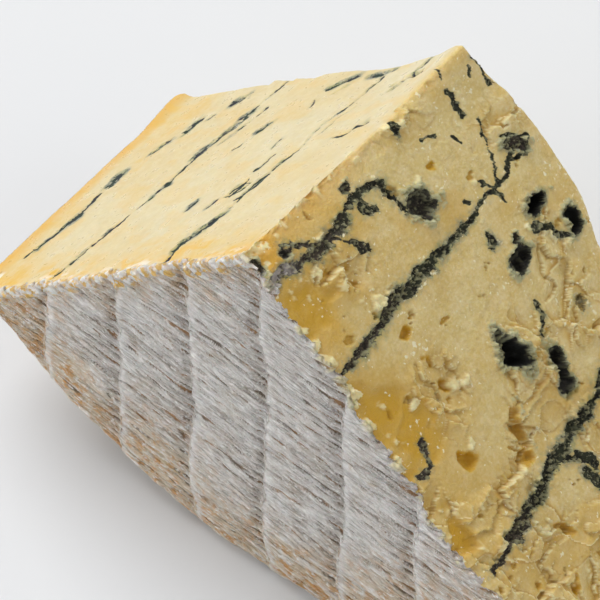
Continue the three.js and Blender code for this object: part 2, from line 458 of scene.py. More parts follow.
def amber_share(place):
    """How deep a yellow the paste has: most in smooth patches close under the rind."""
    amber = 0.75 * rise(place[:, 1], 38, 4) * rise(noise(place, 19, 29), -0.9, 0.3)
    amber *= 1 - 0.45 * rise(place[:, 0], 60, 85)
    amber += 0.4 * rise(fractal(warped(place, 2.0, 7, 23), 13, 2, 48), 0.1, 0.8)
    for centre, sizes in AMBER_PATCHES:
        patch = rise(ellipse(warped(place, 2.2, 9, 47), centre, sizes), 1.25, 0.35)
        amber = np.maximum(amber, patch)
    return amber


def broken_paste(place, marks):
    """Height of the paste between the veins: smeared in places, torn in others, with pits."""
    amber = amber_share(place)
    torn = torn_share(place) * (1 - 0.85 * rise(amber, 0.6, 0.9))
    height = 0.8 * noise(place, 30, 21) + 0.25 * noise(place, 9, 22) - 0.9 * rise(amber, 0.6, 1)
    shell = shells(place, 15.0, 25)
    height += (0.15 + 1.2 * torn) * (shell - 0.5) + 0.06 * fractal(place, 1.5, 3, 30)
    # Painted highlight: each shell's broken edge is painted pale cream. Painted shade: the paste
    # coming out from under a shell is painted deeper amber, with a dark line at its foot.
    blot(marks, "crumb", 0.9 * torn * rise(shell, 0.94, 1.0))
    blot(marks, "amber", 0.6 * torn * rise(shell, 0.25, 0.0))
    blot(marks, "crack", torn * rise(shell, 0.07, 0.0))
    small_torn = 0.6 * torn * rise(noise(place, 9, 27), 0.0, 0.5)
    for share, size, seed in ((torn, 10.0, 26), (small_torn, 5.5, 31)):
        plate, lip, foot = flakes(place, size, seed)
        height += share * plate
        # Painted highlight on each plate's broken lip. Painted shade: deeper amber and a dark line
        # at the foot of a higher plate.
        blot(marks, "crumb", 0.85 * share * lip)
        blot(marks, "amber", 0.6 * share * foot)
        blot(marks, "crack", share * rise(foot, 0.7, 1.0))

    tiny, _, which, _, _ = cells(warped(place, 1.3, 1.8, 33), 5.5, 34)
    common = 0.9 - 0.25 * torn - 0.1 * rise(amber, 0.2, 0.6)
    pit = rise(0.3 + 1.2 * again(which, 1) - tiny, 0, 0.35) * (which > common)
    # The paste's own amber under the rind, and painted shade: a deeper amber inside the pits.
    blot(marks, "amber", np.maximum(amber, 0.85 * pit))
    return height - (0.5 + 0.9 * again(which, 2)) * pit


def open_hollow(place, marks, hollow):
    """Height cut away for one hollow; its rim is set with mouldy grains, and its inside gets
    painted shade.
    """
    centre, sizes, depth, turn, mould = hollow
    edge = ellipse(warped(place, 1.1, 4.5, 45), centre, sizes, turn, 2.8)
    inside = rise(edge, 1.0, 0.5)
    blot(marks, "vein", mould * rise(edge, 1.22, 1.04))
    blot(marks, "haze", mould * rise(edge, 2.1, 1.0))
    # Painted shade: the inside is darkened, more the deeper the hollow is.
    blot(marks, "hollow", rise(edge, 1.08, 0.95) * min(1, (depth - 1) / 3.5))
    blot(marks, "earthy", mould * rise(edge, 1.1, 0.9))
    patchy = rise(noise(place, 3.5, 35), -0.5, 0.1)
    blot(marks, "rim", mould * patchy * rise(np.abs(edge - 1.28), 0.45, 0.2))
    # Painted shade: a hollow without mould is painted a deeper amber inside.
    blot(marks, "amber", (1 - mould) * rise(edge, 1.15, 0.9))
    return -depth * inside * (0.85 + 0.3 * noise(place, 2.2, 44))


def mould_grains(place, marks):
    """Height of the grains lying in the veins and thinly round them."""
    dome, number = grains(place, 1.15, 37)
    bed = rise(marks["vein"], 0.25, 0.8) * (1 - rise(marks["hollow"], 0.2, 0.7))
    near = rise(marks["haze"], 0.62, 0.85) * (number > 0.72)
    loose = np.maximum(near, marks["rim"] * (number > 0.35))
    marks["tone"] = number * rise(dome, -0.4, 0.6)
    blot(marks, "grain", loose * dome * (1 - bed))
    lump, lump_number = grains(place, 1.9, 46)
    lump *= marks["rim"] * (lump_number > 0.25)
    blot(marks, "grain", rise(lump, 0.05, 0.35))
    return dome * (0.95 * number * bed + 0.6 * loose) + 1.3 * lump


def crumb_heaps(place, marks):
    """Height of the crumbs left on the cut: those that fell in clumps, and a scatter."""
    dome, number = grains(place, 1.6, 38)
    height = np.zeros(len(place))
    for centre, size in CRUMBS:
        edge = ellipse(warped(place, 0.6 * size, 1.2 * size, 39), centre, (size, size))
        clump = rise(edge, 1.0, 0.75)
        height = np.maximum(height, clump * size * (0.5 + 0.45 * number * dome))
        blot(marks, "crumb", clump * (0.55 + 0.45 * number))
    strewn = 0.5 * rise(place[:, 1], 22, 2) - 0.4 * amber_share(place) + 0.6 * noise(place, 7, 40)
    speck = dome * (number > 0.88) * rise(strewn, 0.1, 0.5)
    blot(marks, "crumb", 0.8 * speck)
    return np.maximum(height, 0.45 * speck)


def frayed(place):
    """Pale flecks where the edge between the two cuts has frayed, towards the rind."""
    near = rise(place[:, 0], 4.5, 0.5) * rise(place[:, 1], 56, 36)
    return near * rise(noise(place * (0.6, 1.0), 1.3, 36), 0.1, 0.4)


def apex_lift(place):
    """How far the knife lifted the paste along the apex edge as it came out at the back."""
    return 1.6 * rise(place[:, 0], 13, 0) * rise(place[:, 1], 50, HEIGHT)


def crumbly_cut(place, marks):
    """Height of the broken cut, with its open veins and hollows."""
    wander = warped(warped(place, 0.8, 5, 11), 0.5, 1.4, 14)
    rough = fractal(place, 1.8, 3, 17)
    _, number = grains(place, 1.15, 37)
    grainy = 0.4 * rough + 0.9 * (number - 0.5)
    height = broken_paste(place, marks)
    height += carve_veins(marks, wander, grainy, OPEN_VEINS, 2.2)
    height += carve_veins(marks, warped(place, 0.6, 2.2, 41), grainy, FINE_VEINS, 1.4)
    threads = rise(np.abs(noise(wander, 2.6, 42)), 0.09, 0.02)
    blot(marks, "vein", 0.8 * threads * rise(marks["haze"], 0.6, 0.8))
    for hollow in HOLLOWS:
        height += open_hollow(place, marks, hollow)
    height += mould_grains(place, marks)
    height += crumb_heaps(place, marks)

    tooth = rind_teeth(place[:, 0]) - place[:, 1]
    height += 0.8 * rise(tooth, 0.0, 0.3) + 0.5 * rise(tooth, -0.6, 0.3) * rough
    arris = rise(place[:, 0], 3.5, 0) * rise(noise(place, 8, 43), -0.4, 0.4)
    worn = rise(place[:, 0], 9, 0) * rise(place[:, 1], 52, 34)
    height += apex_lift(place) - 0.8 * arris * np.abs(rough) - 1.4 * worn
    blot(marks, "worn", worn)
    fringe = frayed(place)
    blot(marks, "crumb", 0.8 * fringe)
    blot(marks, "earthy", rise(place[:, 1], 36, 12))
    bloom = rise(ellipse(wander, (10, 1), (3.5, 8.0)), 1.2, 0.5)
    blot(marks, "bloom", bloom * rise(marks["vein"], 0.2, 0.7))
    corner = rise(ellipse(wander, (2, 2), (9, 8)), 1.2, 0.6)
    blot(marks, "crust", corner)
    blot(marks, "crumb", 0.9 * corner * rise(noise(wander, 1.7, 36), 0.45, 0.6))
    return height + 0.5 * fringe


# ---------------- the smooth cut

SMOOTH_VEINS = [
    (1.8, 0.3, [(97, 1), (95, 8), (93, 15), (91, 23)]),
    (1.5, 0.2, [(91, 23), (88, 34)]),
    (2.2, 0.3, [(88, 34), (87, 40)]),
    (1.5, 0.2, [(87, 40), (87, 54)]),
    (3.2, 0.2, [(87, 52), (86, 58), (84, 66), (84, 70)]),
    (1.6, 0.2, [(84, 68), (82, 84)]),
    (1.6, 0.2, [(81, 58), (78, 66), (77, 72)]),
    (1.6, 0.3, [(39, 1), (41, 5), (42, 9)]),
    (3.0, 0.4, [(42, 7), (40, 12), (37, 17), (36, 20)]),
    (1.6, 0.3, [(36, 20), (35, 33), (33, 42)]),
    (1.3, 0.2, [(33, 42), (32, 48), (34, 59)]),
    (1.5, 0.2, [(34, 59), (32, 67), (32, 80)]),
    (1.0, 0.2, [(30, 52), (29, 62), (28, 66)]),
    (1.2, 0.2, [(126, 14), (124, 18)]),
    (2.4, 0.2, [(124, 18), (121, 25), (119, 31)]),
    (1.6, 0.2, [(119, 31), (120, 40)]),
    (3.2, 0.2, [(120, 43), (121, 49)]),
    (2.6, 0.2, [(115, 58), (114, 62)]),
    (3.0, 0.2, [(109, 66), (109, 71)]),
    (1.4, 0.2, [(104, 70), (103, 73)]),
    (2.4, 0.2, [(99, 77), (96, 81)]),
    (2.2, 0.2, [(59, 26), (58, 29)]),
    (1.4, 0.2, [(48, 25), (47, 28)]),
    (1.2, 0.4, [(44, 29), (41, 30), (39, 34), (42, 34), (44, 31)]),
    (0.9, 0.3, [(42, 28), (42, 36)]),
    (1.4, 0.2, [(43, 40), (42, 46)]),
    (1.4, 0.2, [(47, 49), (48, 54)]),
    (2.2, 0.2, [(67, 60), (65, 63)]),
    (1.2, 0.2, [(70, 52), (68, 55)]),
    (1.6, 0.2, [(53, 69), (54, 72)]),
    (2.2, 0.3, [(53, 77), (46, 82)]),
    (1.4, 0.3, [(48, 75), (46, 78)]),
    (1.8, 0.3, [(41, 81), (30, 83)]),
    (1.4, 0.3, [(23, 85), (20, 87)]),
    (1.8, 0.4, [(18, 71), (15, 76), (13, 85)]),
    (1.6, 0.4, [(20, 74), (15, 76), (10, 77)]),
    (1.3, 0.3, [(20, 50), (16, 52), (11, 56)]),
    (0.9, 0.2, [(38, 26), (34, 30), (33, 36)]),
]


def smooth_cut(place, marks):
    """Height of the knife-cut face: nearly flat, with fine veins hardly sunk into it."""
    down, depth = place.T
    rough = fractal(place, 2.0, 3, 51)
    drag = place * (0.12, 1.0)
    height = 0.35 * noise(place, 40, 52) + 0.05 * noise(drag, 1.1, 53)
    smear = rise(depth, 18, 3) * rise(noise(place, 11, 54), -0.3, 0.5)
    height += 0.25 * smear * fractal(warped(place, 2.0, 6, 55), 3.2, 3, 56)
    amber = 0.8 * rise(depth, 17, 1) + 0.55 * rise(RADIUS - down, 30, 2)
    amber = amber * (0.65 + 0.5 * noise(place, 9, 57))
    smears = noise(warped(place, 1.5, 5, 46) * (0.45, 1.0), 4.0, 45)
    amber += rise(smears, 0.15, 0.6) * (0.25 + 0.5 * rise(depth, 12, 2))
    blot(marks, "amber", np.minimum(amber, 1))
    wander = warped(warped(place, 0.7, 5.0, 58), 0.3, 1.4, 59)
    strength = 1.1 - 0.35 * rise(depth, 25, 60) + 0.35 * noise(place, 4, 60)
    ragged = 0.45 * fractal(place, 1.5, 2, 47) - 0.15
    height += carve_veins(marks, wander, rough, SMOOTH_VEINS, 1.5, 0.72, strength, ragged)
    threads = rise(np.abs(noise(wander, 2.2, 42)), 0.14, 0.03)
    blot(marks, "vein", 0.8 * threads * rise(marks["haze"], 0.6, 1.0))
    marks["haze"] *= 0.9 + 0.45 * noise(place, 3.0, 47)
    notch = rise(ellipse(wander, (14, 76), (4.0, 1.6), 5), 1.0, 0.6)
    # Painted shade: the notch's inside is darkened nearly to black.
    blot(marks, "hollow", notch)
    blot(marks, "vein", notch)
    marks["tone"] = noise(place, 1.2, 61) * 0.45 + 0.15
    blot(marks, "crust", 0.8 * rise(RADIUS - down, 8, 0.5))
    blot(marks, "crust", rise(ellipse(wander, (0, 0), (8, 7)), 1.2, 0.5))
    streak = rise(noise(warped(place, 0.8, 3, 48) * (0.5, 1.0), 1.3, 49), 0.1, 0.6)
    frost = rise(depth, 6, 1) * streak * rise(noise(place, 9, 50), -0.5, 0.4)
    blot(marks, "frost", np.maximum(frost, rib_ends(place) * rise(depth, 2.2, 0.6)))
    lip = rise(RADIUS - down, 7, 0) * (0.5 + 1.3 * rise(depth, 66, HEIGHT))
    dish = 1.6 * np.exp(-(((down - 34) / 18) ** 2)) * rise(depth, 50, HEIGHT)
    height += apex_lift(place) + lip - dish - 2.0 * notch
    fringe = frayed(place)
    blot(marks, "crumb", 0.8 * fringe)
    return height + 0.15 * frost + 0.7 * rib_ends(place) * rise(depth, 2, 0) + 0.5 * fringe


# ---------------- the rind


def across_bands(x, down):
    """Which of the rind's upright bands a place is in, and its share of the way across it."""
    place = np.stack([x, down], 1)
    shifted = x + 1.6 * noise(place, 26, 61) + 0.7 * noise(place, 6, 62)
    shifted += 0.35 * noise(place, 2, 60)
    turns = (shifted - BAND_START) / BAND_PITCH
    band = np.floor(turns)
    return band, turns - band


def rib_ends(place):
    """Where ribs of the rind stand up along the smooth cut, from 0 to 1. Places are
    (distance down that cut's edge, distance away from the edge)."""
    down, away = place.T
    turns = (down + 0.8 * away + 0.9 * noise(place, 6, 75)) / TICK_PITCH
    rib = np.floor(turns).astype(np.int64)
    length = 3.0 + 3.4 * lattice(rib[:, None], 76)
    side = np.abs(turns - rib - 0.5) + 0.12 * noise(place, 1.2, 77)
    return rise(side, 0.42, 0.2) * rise(away, length, 0.5 * length)


def rind_teeth(down):
    """How far broken teeth of rind reach over the edge of the crumbly cut."""
    line = np.stack([down, np.zeros(len(down))], 1)
    turns = (down + 2.0 * noise(line, 9, 78)) / TOOTH_PITCH
    tooth = np.floor(turns).astype(np.int64)
    size = lattice(tooth[:, None], 79)
    return 0.3 + 2.6 * size * (turns - tooth) + 0.35 * noise(line, 1.3, 80)


def rind(x, down, marks):
    """Height of the flat rind: upright overlapping bands, each with ribs that run across it and
    end at the next one, under a fine bloom of mould."""
    place = np.stack([x, down], 1)
    band, part = across_bands(x, down)
    rising = rise(part, 0.93, 1.0)
    height = (1 - part**2) * (1 - rising) + rising - 0.2 * np.exp(-(((part - 0.9) / 0.06) ** 2))
    height *= BAND_RISE * rise(RADIUS - np.hypot(x, down), 0, 18)

    run = part * BAND_PITCH
    fall = 0.1 * run + 0.12 * run * run / BAND_PITCH
    bend = 2.0 * noise(np.stack([x * 0.35 + band * 7.3, down], 1), 17, 63)
    strand = np.stack([x * 0.16 + band * 7.3, down - fall], 1)
    wave = down - fall + bend + 1.1 * noise(strand, 2.6, 64)
    ribs = zigzag(wave / RIB_PITCH + 0.37 * band)
    hairs = zigzag(wave / HAIR_PITCH + 0.21 * band)
    broken = rise(noise(np.stack([x * 0.22, down], 1), 1.7, 65) + 0.9 * part, -0.1, 0.6)
    groove = rise(ribs, 0.5, 0.95) * broken
    fine = rise(hairs, 0.35, 0.95) * rise(noise(strand, 1.3, 66) + 0.4 * part, -0.3, 0.4)
    height -= GROOVE_DEPTH * groove + HAIR_DEPTH * fine
    height += 0.35 * noise(place, 12, 67) + 0.12 * fractal(place, 2.4, 3, 68)
    lifted = rise(fractal(strand, 1.0, 2, 69), 0.3, 0.8)
    height += 0.25 * lifted
    comb = rise(part, 0.7, 0.88) * (1 - rising) * rise(ribs, 0.5, 0.8)
    height -= 0.4 * comb
    blot(marks, "groove", np.maximum(np.maximum(0.9 * groove, 0.6 * fine), comb))
    # Lifted fibres are whitened as they are. The thin line at each band's crest is a painted
    # highlight, and the slope before the crest gets painted shade.
    blot(marks, "fibre", np.maximum(lifted, rise(np.abs(part - 0.03), 0.09, 0.0)))
    blot(marks, "valley", rise(part, 0.5, 0.9) * (1 - rising))
    marks["strand"] = wave / STRAND_SPAN + 0.5

    from_smooth = (down + x) * LEAN
    blot(marks, "tan", 0.45 * rise(from_smooth + 4 * noise(place, 9, 59), 17, 3))
    ends = rib_ends(np.stack([(down - x) * LEAN, from_smooth], 1))
    blot(marks, "frost", ends)
    return height - 0.5 * BAND_RISE + 0.9 * ends


def rim(around, depth, marks):
    """Height of the rim's rind: the cloth's weave runs round the wheel."""
    place = np.stack([around, depth], 1)
    wave = depth + 1.2 * noise(place * (0.15, 1.0), 3.0, 71)
    ribs = zigzag(wave / RIB_PITCH)
    groove = rise(ribs, 0.6, 0.97) * rise(noise(place * (0.25, 1.0), 2.0, 72), -0.3, 0.4)
    blot(marks, "groove", groove)
    marks["strand"] = wave / STRAND_SPAN + 0.5
    return 0.4 * noise(place, 14, 73) + 0.12 * fractal(place, 2.4, 3, 74) - 0.35 * groove


def back_cut(x, down, marks):
    """Height of the cut across the wheel: torn like the crumbly cut, with a web of veins."""
    place = np.stack([x, down], 1)
    wander = warped(place, 2.2, 8, 81)
    web = np.abs(fractal(wander, 13, 3, 82))
    patch = rise(noise(place, 30, 83) + 0.3, -0.1, 0.6)
    vein = rise(web, 0.075, 0.02) * patch
    blot(marks, "vein", vein)
    blot(marks, "haze", rise(web, 0.22, 0.02) * patch)
    torn = rise(noise(place, 25, 86), -0.1, 0.4)
    plate, lip, foot = flakes(place, 9.0, 84)
    # Painted highlight on the plates' broken lips, and painted shade in deeper amber at their
    # feet.
    blot(marks, "crumb", 0.7 * torn * lip)
    blot(marks, "amber", 0.7 * torn * foot)
    height = 0.5 * noise(place, 22, 89) + torn * plate
    small, _, which, _, _ = cells(warped(place, 1.5, 2.5, 85), 7.0, 87)
    pit = rise(0.3 + 1.2 * again(which, 1) - small, 0, 0.5) * (which > 0.84)
    # Painted shade: a deeper amber inside the pits.
    blot(marks, "amber", 0.7 * pit)
    return height - 1.3 * pit - 0.7 * vein + 0.12 * fractal(place, 1.6, 3, 88)


# ---------------- carving the wedge


EDGE_BLEND = 2.2  # how far a face's carving carries round its edges
# What the carving tells the materials, from 0 to 1: first of the paste, then of the rind.
# Smooth is the smooth cut, and flesh is what isn't rind. Some paint light into the colour:
# shade at the feet of torn plates, in pits, hollows and the rind's valleys, and highlights
# on the plates' broken lips and the rind's crests.
MARKS = (
    "vein haze rim grain amber crack hollow crumb tone earthy bloom crust worn frost "
    "groove fibre valley strand tan smooth flesh"
).split()


def carve(wedge, places):
    """Moves every vertex by the heights of the faces it lies on or near. Returns the marks."""
    marks = {name: np.zeros(len(places)) for name in MARKS}
    moved = places.copy()

    def add(distance, direction, height_of):
        near = distance < EDGE_BLEND
        local = {name: np.zeros(near.sum()) for name in MARKS}
        height = height_of(near, local)
        weight = rise(distance[near], EDGE_BLEND, 0)
        moved[near] += (height * weight)[:, None] * direction[near]
        for name in MARKS:
            share = weight > 0.5 if name == "strand" else weight
            marks[name][near] = np.maximum(marks[name][near], local[name] * share)

    def fixed(x, y, z):
        return np.broadcast_to(np.array([x, y, z], float), places.shape)

    def pair(near, first, second):
        return np.stack([first[near], second[near]], 1)

    w = wedge
    add(w.smooth, fixed(LEAN, 0, LEAN),
        lambda near, local: crumbly_cut(pair(near, w.crumbly, w.depth), local))
    add(w.crumbly, fixed(-LEAN, 0, LEAN),
        lambda near, local: smooth_cut(pair(near, w.smooth, w.depth), local))
    add(w.from_back, fixed(0, 1, 0),
        lambda near, local: back_cut(w.x[near], w.down[near], local))

    turn = rise(w.radius, RADIUS - RIM_ROUNDING, RADIUS)
    radial = np.stack([w.x, np.zeros(len(places)), -w.down], 1)
    radial /= np.maximum(w.radius, 1)[:, None]
    skin = fixed(0, -1, 0) * (1 - turn)[:, None] + radial * turn[:, None]
    skin = skin / np.linalg.norm(skin, axis=1)[:, None]
    flat = np.where(w.radius > RADIUS - RIM_ROUNDING, w.depth - RIM_ROUNDING, w.depth)
    add(np.maximum(flat, 0), skin, lambda near, local: rind(w.x[near], w.down[near], local))
    add(np.maximum(w.from_rim, RIM_ROUNDING - w.depth), radial,
        lambda near, local: rim(w.angle[near] * RADIUS, w.depth[near], local))

    marks["smooth"] = rise(w.crumbly, 1.5, 0.2) * rise(w.smooth, 0.2, 1.5)
    out = w.run * RADIUS
    lip = rind_teeth(w.crumbly) * rise(w.smooth, 2, 1)
    lip += 1.1 * rib_ends(pair(slice(None), w.smooth, w.depth)) * rise(w.crumbly, 2, 1)
    marks["flesh"] = rise(w.under_skin() - lip, 0.0, 0.7)
    blot(marks, "tan", rise(out + 9 * noise(places, 16, 91), 82, 134))
    return moved, marks


def lose_corner(wedge, moved):
    """Cuts off the corner where both cuts meet the rind, as in the CAD solid."""
    outward = -1 / np.array(LOST_CORNER)
    outward /= np.linalg.norm(outward)
    here = np.stack([wedge.smooth, wedge.crumbly, wedge.depth], 1)
    over = here @ outward - LOST_CORNER[0] * outward[0] + 0.5 * fractal(here, 3, 3, 95)
    cut = np.maximum(over, 0)[:, None] * outward
    moved[:, 0] -= (cut[:, 1] - cut[:, 0]) * LEAN
    moved[:, 1] -= cut[:, 2]
    moved[:, 2] += (cut[:, 0] + cut[:, 1]) * LEAN
    return rise(over, -0.3, 0.3)


def make_mesh(name, places, quads, marks):
    mesh = bpy.data.meshes.new(name)
    mesh.vertices.add(len(places))
    mesh.vertices.foreach_set("co", (places * MM).astype(np.float32).ravel())
    mesh.loops.add(quads.size)
    mesh.loops.foreach_set("vertex_index", quads.astype(np.int32).ravel())
    mesh.polygons.add(len(quads))
    mesh.polygons.foreach_set("loop_start", np.arange(0, quads.size, 4, dtype=np.int32))
    mesh.polygons.foreach_set("use_smooth", np.ones(len(quads), bool))
    mesh.update(calc_edges=True)
    for mark, values in marks.items():
        layer = mesh.attributes.new(mark, "FLOAT", "POINT")
        layer.data.foreach_set("value", np.clip(values, 0, 1).astype(np.float32))
    return mesh


# ---------------- materials


class Shader:
    """A material's nodes, with short ways to add the ones used here."""

    def __init__(self, name):
        self.material = bpy.data.materials.new(name)
        self.material.use_nodes = True
        self.tree = self.material.node_tree
        self.surface = self.tree.nodes["Principled BSDF"]
        self.base = None  # the surface's colour so far

    def put(self, socket, value):
        if isinstance(value, bpy.types.NodeSocket):
            self.tree.links.new(value, socket)
        else:
            socket.default_value = value

    def place(self, stretch=(1, 1, 1), turn=0.0):
        """Where the surface is, with lumps drawn out by stretch along axes turned about Y."""
        where = self.tree.nodes.new("ShaderNodeTexCoord")
        mapping = self.tree.nodes.new("ShaderNodeMapping")
        mapping.vector_type = "TEXTURE"
        mapping.inputs["Scale"].default_value = stretch
        mapping.inputs["Rotation"].default_value = (0, turn, 0)
        self.tree.links.new(where.outputs["Object"], mapping.inputs["Vector"])
        return mapping.outputs["Vector"]

    def noise(self, size, detail=3.0, roughness=0.55, place=None):
        """Noise from 0 to 1 with lumps of size metres."""
        node = self.tree.nodes.new("ShaderNodeTexNoise")
        node.inputs["Scale"].default_value = 1 / size
        node.inputs["Detail"].default_value = detail
        node.inputs["Roughness"].default_value = roughness
        self.put(node.inputs["Vector"], place or self.place())
        return node.outputs["Fac"]

    def mark(self, name, strength=1.0):
        """A mark from the mesh, times strength."""
        node = self.tree.nodes.new("ShaderNodeAttribute")
        node.attribute_name = name
        value = node.outputs["Fac"]
        return value if strength == 1.0 else self.times(value, strength)

    def maths(self, operation, first, second):
        node = self.tree.nodes.new("ShaderNodeMath")
        node.operation = operation
        self.put(node.inputs[0], first)
        self.put(node.inputs[1], second)
        return node.outputs["Value"]

    def times(self, first, second):
        return self.maths("MULTIPLY", first, second)

    def plus(self, first, second):
        return self.maths("ADD", first, second)

    def range(self, value, low, high, to_low=0.0, to_high=1.0):
        """to_low where the value is below low, to_high above high, and a smooth rise between."""
        node = self.tree.nodes.new("ShaderNodeMapRange")
        node.interpolation_type = "SMOOTHSTEP"
        names = ("Value", "From Min", "From Max", "To Min", "To Max")
        for name, number in zip(names, (value, low, high, to_low, to_high)):
            self.put(node.inputs[name], number)
        return node.outputs["Result"]

    def mix(self, share, first, second):
        node = self.tree.nodes.new("ShaderNodeMix")
        node.data_type = "RGBA"
        self.put(node.inputs["Factor"], share)
        self.put(node.inputs[6], first)
        self.put(node.inputs[7], second)
        return node.outputs[2]

    def coat(self, share, paint):
        """Lays a colour over what the surface has so far."""
        self.base = self.mix(share, self.base, paint)

    def bump(self, height, strength, distance):
        node = self.tree.nodes.new("ShaderNodeBump")
        node.inputs["Strength"].default_value = strength
        node.inputs["Distance"].default_value = distance
        self.put(node.inputs["Height"], height)
        return node.outputs["Normal"]


def colour(red, green, blue):
    """A screen colour, 0 to 255, as the linear colour that shaders use."""
    def linear(value):
        value /= 255
        return value / 12.92 if value <= 0.04045 else ((value + 0.055) / 1.055) ** 2.4

    return (linear(red), linear(green), linear(blue), 1.0)


def paste_colour(s):
    """The curd itself: cream where sliced, deeper where broken, amber under the rind. Painted
    shade: deeper amber in pits, hollows and at the feet of torn plates, with dark lines along
    those feet; painted highlights: pale lips on the plates' broken edges.
    """
    cloudy = s.range(s.noise(0.02, 4), 0.35, 0.65)
    broken = s.mix(cloudy, colour(226, 203, 134), colour(221, 193, 118))
    sliced = s.mix(cloudy, colour(214, 200, 156), colour(213, 193, 140))
    s.base = s.mix(s.mark("smooth"), broken, sliced)
    coarse = s.range(s.mark("smooth"), 0.0, 1.0, 0.28, 0.1)
    curds = s.range(s.noise(0.0045, 3, 0.5), 0.42, 0.66)
    s.coat(s.times(curds, coarse), colour(248, 232, 184))
    grain = s.range(s.noise(0.0009, 3), 0.4, 0.7)
    s.coat(s.times(grain, coarse), colour(252, 240, 200))
    dull = s.times(s.range(s.noise(0.0022, 4, 0.6), 0.5, 0.7), coarse)
    s.coat(dull, colour(188, 160, 92))
    # Amber: the paste's own deep yellow under the rind, and painted shade in pits, hollows and at
    # the feet of torn plates.
    amber = s.times(s.mark("amber"), s.range(s.noise(0.006, 3), 0.2, 0.6, 0.75, 1.0))
    s.coat(amber, s.mix(s.mark("smooth"), colour(212, 166, 44), colour(224, 182, 78)))
    # Painted shade: a dark amber line at the foot of each step in the torn paste.
    s.coat(s.mark("crack", 0.6), colour(182, 134, 52))
    s.coat(s.mark("worn", 0.6), colour(222, 180, 100))
    s.coat(s.mark("crust", 0.8), colour(222, 168, 44))
    s.coat(s.mark("frost", 0.85), colour(244, 238, 226))
    # Pale cream for crumbs, and painted highlights on the broken lips of torn plates.
    s.coat(s.mark("crumb"), colour(252, 240, 188))


def add_mould(s):
    """Veins over the curd: green-grey haze, dark granular mould, and painted shade that darkens
    the hollows nearly to black. Returns how mouldy the surface is."""
    tint = s.mix(s.range(s.noise(0.005, 3), 0.4, 0.6), colour(116, 134, 92), colour(98, 116, 112))
    hazy = s.plus(s.mark("haze"), s.times(s.noise(0.0018, 5, 0.65), 1.3))
    near = s.range(s.mark("haze"), 0.02, 0.2)
    s.coat(s.times(near, s.range(hazy, 0.95, 1.8, 0.0, 0.75)), tint)
    speck = s.plus(s.mark("haze", 0.5), s.noise(0.0008, 4, 0.7))
    speck = s.times(near, s.range(speck, 0.95, 1.05, 0.0, 0.8))
    s.coat(speck, colour(62, 78, 66))

    fleck = s.plus(s.noise(0.0012, 2, 0.5), s.times(s.noise(0.008, 2), 0.4))
    fleck = s.maths("SUBTRACT", fleck, s.mark("smooth", 0.3))
    s.coat(s.range(fleck, 0.87, 0.95, 0.0, 0.9), colour(252, 244, 208))
    ragged = s.times(s.maths("SUBTRACT", s.noise(0.0009, 4, 0.6), 0.5), 0.5)
    mould = s.range(s.plus(s.mark("vein"), ragged), 0.34, 0.66)
    teal = s.mix(s.range(s.noise(0.003, 3), 0.4, 0.62), colour(27, 27, 16), colour(60, 64, 44))
    soil = s.range(s.noise(0.0016, 4, 0.65), 0.4, 0.62)
    brown = s.mix(soil, colour(42, 34, 29), colour(96, 84, 72))
    dark = s.mix(s.mark("earthy", 0.85), teal, brown)
    slate = s.mix(s.range(s.noise(0.006, 3), 0.4, 0.6), colour(30, 50, 38), colour(36, 36, 46))
    dark = s.mix(s.mark("smooth"), dark, slate)
    dark = s.mix(s.range(s.mark("tone"), 0.4, 0.8, 0.0, 0.9), dark, colour(142, 140, 108))
    pale = s.maths("SUBTRACT", s.noise(0.0009, 4, 0.7), s.mark("smooth", 0.06))
    pale = s.range(pale, 0.56, 0.66, 0.0, 0.8)
    dark = s.mix(pale, dark, colour(170, 166, 132))
    s.coat(mould, dark)
    s.coat(s.mark("grain", 0.85), colour(186, 186, 148))
    bloom = s.times(s.mark("bloom"), s.range(s.noise(0.002, 3), 0.3, 0.55))
    s.coat(bloom, colour(196, 188, 182))
    # Painted shade: the hollows' insides are darkened nearly to black, more the deeper they are.
    s.coat(s.times(s.mark("hollow"), mould), colour(13, 14, 9))
    return mould


def paste_material():
    s = Shader("blue_cheese_paste")
    paste_colour(s)
    mould = add_mould(s)
    s.put(s.surface.inputs["Base Color"], s.base)
    sheen = s.range(s.noise(0.003, 4), 0.3, 0.7, 0.26, 0.5)
    s.put(s.surface.inputs["Roughness"], s.maths("MAXIMUM", sheen, s.times(mould, 0.8)))
    s.surface.inputs["Subsurface Weight"].default_value = 0.3
    s.surface.inputs["Subsurface Radius"].default_value = (1.0, 0.72, 0.3)
    s.surface.inputs["Subsurface Scale"].default_value = 0.003
    s.surface.inputs["Specular IOR Level"].default_value = 0.45
    coarse = s.range(s.mark("smooth"), 0.0, 1.0, 1.0, 0.04)
    grit = s.times(s.noise(0.0007, 4, 0.6), coarse)
    s.put(s.surface.inputs["Normal"], s.bump(grit, 0.8, 0.0005))
    return s.material


